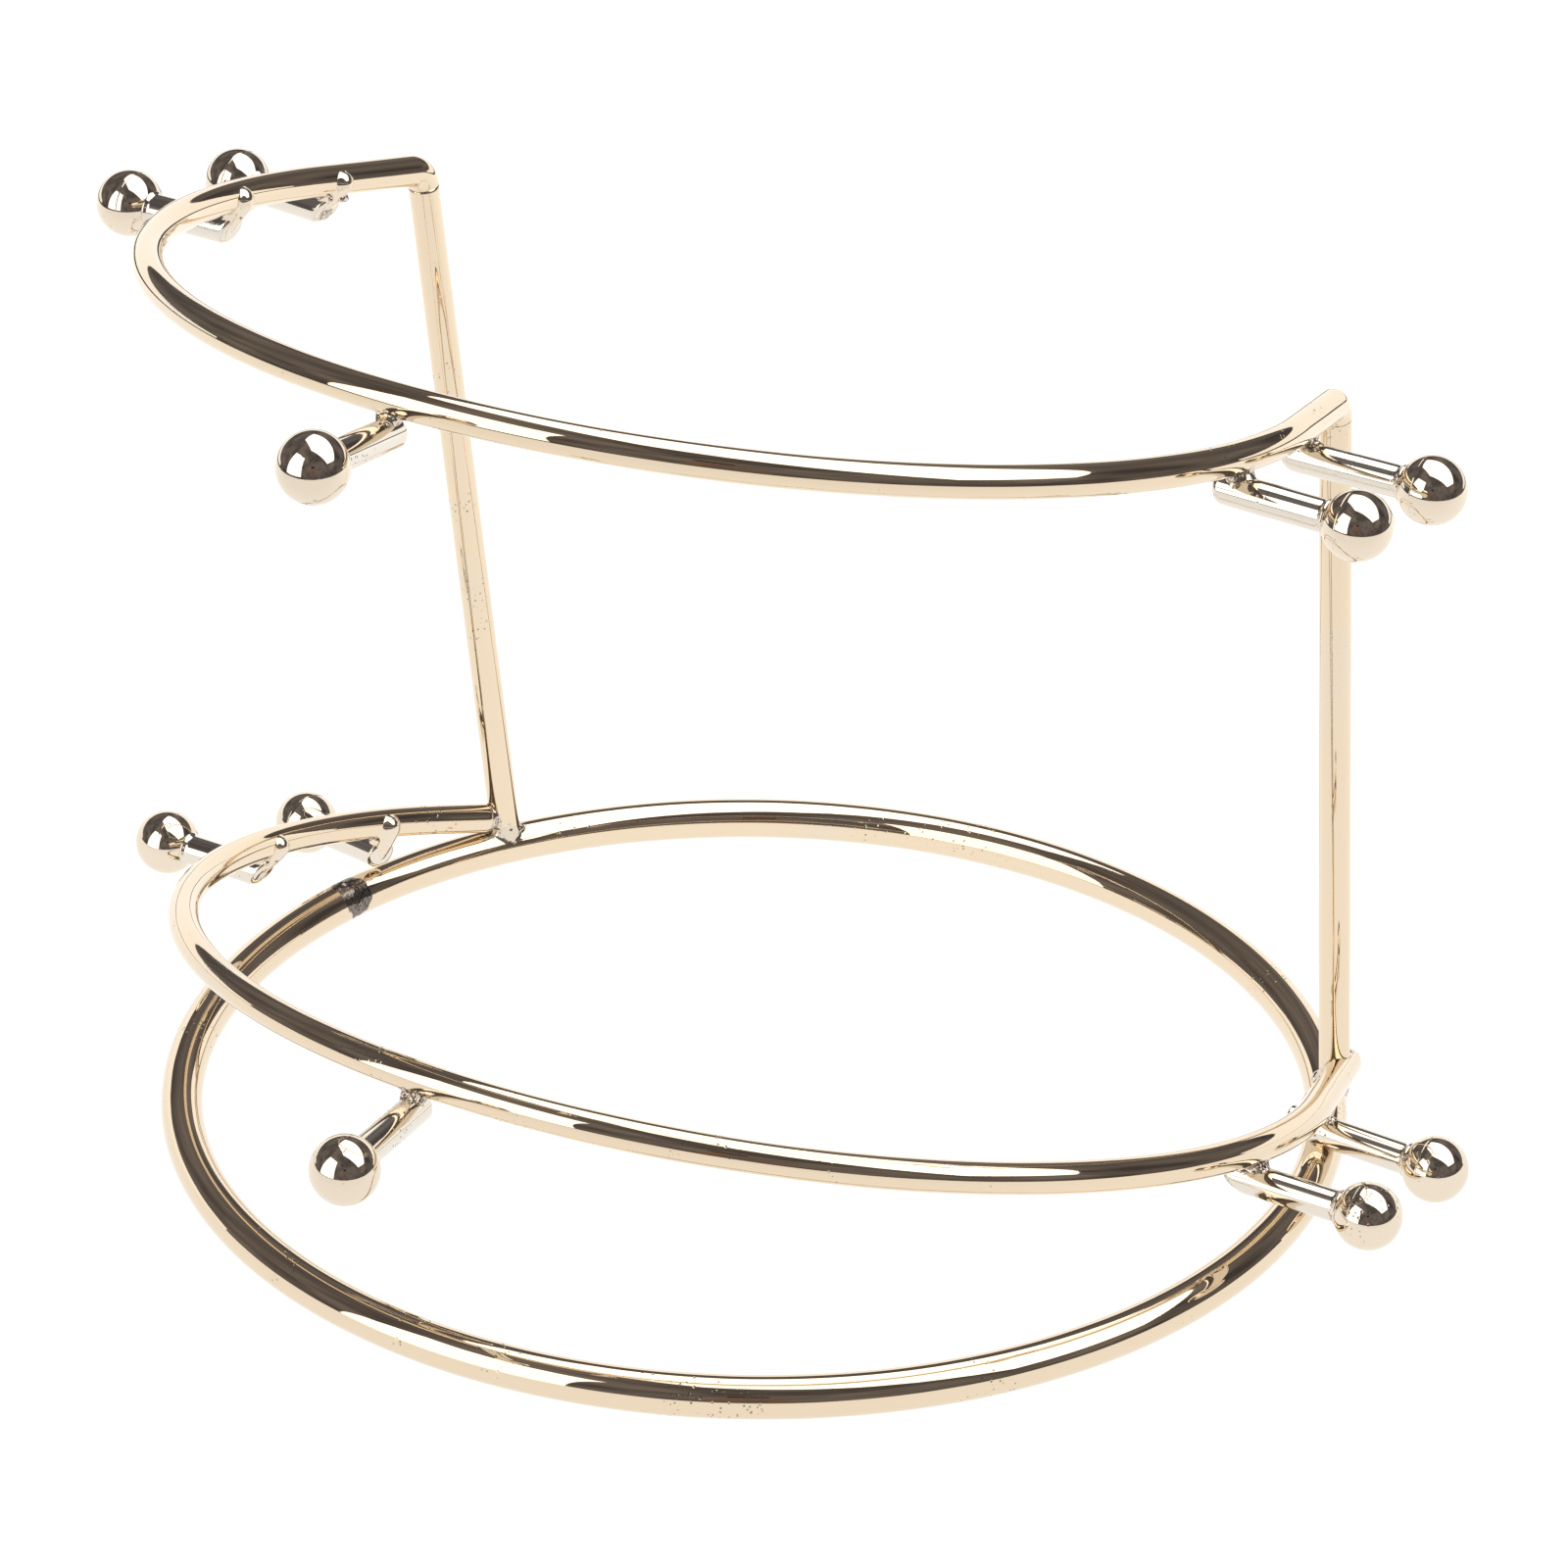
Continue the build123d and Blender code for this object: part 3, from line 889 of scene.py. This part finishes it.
def flat_ring(name, outer, inner):
    """A level disc on the table, with a hole unless inner is 0."""
    around = 96
    angles = np.arange(around) * 2 * math.pi / around
    circle = np.stack([np.cos(angles), np.sin(angles), 0 * angles], 1)
    if not inner:
        return mesh_object(name, circle * outer, [list(range(around))], smooth=False)
    k = np.arange(around)
    m = (k + 1) % around
    faces = np.stack([k, m, m + around, k + around], 1).tolist()
    return mesh_object(name, np.vstack([circle * outer, circle * inner]), faces, smooth=False)


def dome(name, radius):
    """A closed round shell about the whole stage."""
    polar = np.linspace(0.001, math.pi - 0.001, 33)
    angles = np.arange(64) * 2 * math.pi / 64
    grid = np.stack(
        [
            np.sin(polar)[:, None] * np.cos(angles)[None],
            np.sin(polar)[:, None] * np.sin(angles)[None],
            np.cos(polar)[:, None] + 0 * angles[None],
        ],
        2,
    )
    return grid_object(name, grid * radius, polar, 2 * math.pi)


def heading(degrees):
    """Level direction, measured from the front (-Y) towards +X."""
    angle = math.radians(degrees)
    return Vector((math.sin(angle), -math.cos(angle), 0))


def paper(name, albedo, near, far):
    """Matte white that also glows, a little more towards the back, so it stays even and pale."""
    material = bpy.data.materials.new(name)
    material.use_nodes = True
    tree = material.node_tree
    shader = tree.nodes["Principled BSDF"]
    shader.inputs["Base Color"].default_value = (albedo, albedo, albedo, 1.0)
    shader.inputs["Roughness"].default_value = 0.9
    shader.inputs["Specular IOR Level"].default_value = 0.0
    shader.inputs["Emission Color"].default_value = (1.0, 0.995, 0.985, 1.0)
    place = add_node(tree, "ShaderNodeTexCoord", -900, -300)
    away = add_node(tree, "ShaderNodeVectorMath", -700, -300, operation="DOT_PRODUCT")
    away.inputs[1].default_value = heading(200)
    tree.links.new(place.outputs["Object"], away.inputs[0])
    level = add_node(tree, "ShaderNodeMapRange", -500, -300)
    level.inputs["From Min"].default_value = -0.3
    level.inputs["From Max"].default_value = 0.6
    level.inputs["To Min"].default_value = near
    level.inputs["To Max"].default_value = far
    tree.links.new(away.outputs["Value"], level.inputs["Value"])
    tree.links.new(level.outputs["Result"], shader.inputs["Emission Strength"])
    return material


def panel(name, corners, colour, strength):
    """A glowing flat shape that only the stand and the table see."""
    made = mesh_object(name, corners, [list(range(len(corners)))], smooth=False)
    staged(made, glow(f"{name}_glow", colour, strength), camera=False)


def curved_wall(name, away, stops, colour, strength):
    """A glowing wall round the stand. stops are (heading in degrees, height in metres)."""
    verts, faces = [], []
    for k, (degrees, height) in enumerate(stops):
        foot_point = heading(degrees) * away
        verts += [foot_point, foot_point + Vector((0, 0, height))]
        if k:
            faces.append([2 * k - 2, 2 * k, 2 * k + 1, 2 * k - 1])
    made = mesh_object(name, verts, faces, smooth=False)
    staged(made, glow(f"{name}_glow", colour, strength), camera=False)


# where the camera stands: the stage's tripod is just behind it
CAMERA_AIM = Vector((-9.8, 25.9, 55.7)) * MM
CAMERA_AWAY = 1.368
CAMERA_AZIMUTH = 30.68  # degrees from the front towards the right
CAMERA_ELEVATION = math.radians(27.84)
CAMERA_ROLL = math.radians(0.86)
CAMERA_LENS = 163.0

TABLE_R = 0.95
FLOOR_R = 12.0
SURROUND_R = 14.0
WHITE = (1, 1, 1)
WHITE_STRENGTH = 1.02
OVERHEAD_HEIGHT = 1.35
OVERHEAD_OUTLINE = (
    (-0.85, 1.2), (-0.66, 0.2), (0.1, -0.42), (2.4, -0.38), (2.5, 0.85), (0.6, 1.08)
)
STANDING_AWAY = 1.5
STANDING_HEADING = -23
STANDING_HALF_WIDTH = 0.61
STANDING_HEIGHT = 1.82
SWEEP_AWAY = 1.4
SWEEP_STOPS = (
    (138, 0.10), (155, 0.22), (175, 0.36), (200, 0.44), (225, 0.42), (250, 0.30), (285, 0.12)
)

staged(flat_ring("table", TABLE_R, 0.0), paper("table_white", 0.08, 0.94, 1.2))
far_white = glow("far_white", WHITE, WHITE_STRENGTH)
staged(flat_ring("far_floor", FLOOR_R, TABLE_R), far_white, glossy=False, diffuse=False)
surround_white = glow("surround_white", WHITE, WHITE_STRENGTH)
staged(dome("surround", SURROUND_R), surround_white, glossy=False, diffuse=False)

overhead = [Vector((x, y, OVERHEAD_HEIGHT)) for x, y in OVERHEAD_OUTLINE]
panel("softbox_overhead", overhead, (1.0, 0.985, 0.97), 2.1)

standing = heading(STANDING_HEADING) * STANDING_AWAY
standing_side = heading(STANDING_HEADING + 90) * STANDING_HALF_WIDTH
standing_top = Vector((0, 0, STANDING_HEIGHT))
panel(
    "softbox_standing",
    [
        standing - standing_side,
        standing + standing_side,
        standing + standing_side + standing_top,
        standing - standing_side + standing_top,
    ],
    (1.0, 0.99, 0.98),
    2.0,
)
curved_wall("sweep", SWEEP_AWAY, SWEEP_STOPS, (1.0, 0.99, 0.97), 1.2)

TRIPOD_BEHIND = 0.1  # behind the camera, out of its view
TRIPOD_HEAD = 0.66
TRIPOD_FOOT = 0.12
LEG_SPREAD = 0.17
LEG_HALF_WIDTH = 0.04
BODY_HALF_WIDTH = 0.09
BODY_HEIGHT = 0.13


def tripod():
    """The camera's body and the brown legs under it, seen only as a small reflection."""
    away = CAMERA_AWAY * math.cos(CAMERA_ELEVATION) + TRIPOD_BEHIND
    place = heading(CAMERA_AZIMUTH) * away
    across = heading(CAMERA_AZIMUTH + 90)
    head = place + Vector((0, 0, TRIPOD_HEAD))
    edge = across * LEG_HALF_WIDTH
    for number, spread in enumerate((-LEG_SPREAD, LEG_SPREAD)):
        leg_foot = place + across * spread + Vector((0, 0, TRIPOD_FOOT))
        leg = [head - edge, head + edge, leg_foot + edge, leg_foot - edge]
        panel(f"tripod_leg_{number}", leg, (0.45, 0.25, 0.16), 0.45)
    side = across * BODY_HALF_WIDTH
    top = Vector((0, 0, BODY_HEIGHT))
    body = [head - side, head + side, head + side + top, head - side + top]
    panel("camera_body", body, (0.4, 0.25, 0.2), 0.06)


tripod()


def room_air(world):
    """Dim room, unevenly lit: a little lighter low down and to one side."""
    world.use_nodes = True
    tree = world.node_tree
    background = tree.nodes["Background"]
    place = add_node(tree, "ShaderNodeTexCoord", -900, 0)
    cloud = add_node(tree, "ShaderNodeTexNoise", -600, 0)
    cloud.inputs["Scale"].default_value = 2.2
    cloud.inputs["Detail"].default_value = 3.0
    tree.links.new(place.outputs["Generated"], cloud.inputs["Vector"])
    ramp = add_node(tree, "ShaderNodeValToRGB", -300, 0)
    ramp.color_ramp.elements[0].position = 0.36
    ramp.color_ramp.elements[0].color = (0.060, 0.055, 0.058, 1)
    ramp.color_ramp.elements[1].position = 0.66
    ramp.color_ramp.elements[1].color = (0.190, 0.172, 0.170, 1)
    tree.links.new(cloud.outputs["Fac"], ramp.inputs["Fac"])
    tree.links.new(ramp.outputs["Color"], background.inputs["Color"])


world = bpy.data.worlds.new("room")
bpy.context.scene.world = world
room_air(world)

bpy.context.scene.view_settings.view_transform = "Standard"


# ---------------------------------------------------------------- camera
def place_camera():
    """The camera, to the right of the front and above the stand, rolled very slightly."""
    back = heading(CAMERA_AZIMUTH) * math.cos(CAMERA_ELEVATION)
    back.z = math.sin(CAMERA_ELEVATION)
    right = heading(CAMERA_AZIMUTH + 90)
    up = back.cross(right)
    rolled_right = right * math.cos(CAMERA_ROLL) + up * math.sin(CAMERA_ROLL)
    rolled_up = up * math.cos(CAMERA_ROLL) - right * math.sin(CAMERA_ROLL)
    data = bpy.data.cameras.new("camera")
    data.lens = CAMERA_LENS
    data.sensor_width = 36.0
    data.clip_start = 0.05
    data.clip_end = 60.0
    camera = bpy.data.objects.new("camera", data)
    bpy.context.scene.collection.objects.link(camera)
    turn = Matrix((rolled_right, rolled_up, back)).transposed().to_4x4()
    camera.matrix_world = Matrix.Translation(CAMERA_AIM + back * CAMERA_AWAY) @ turn
    bpy.context.scene.camera = camera


place_camera()
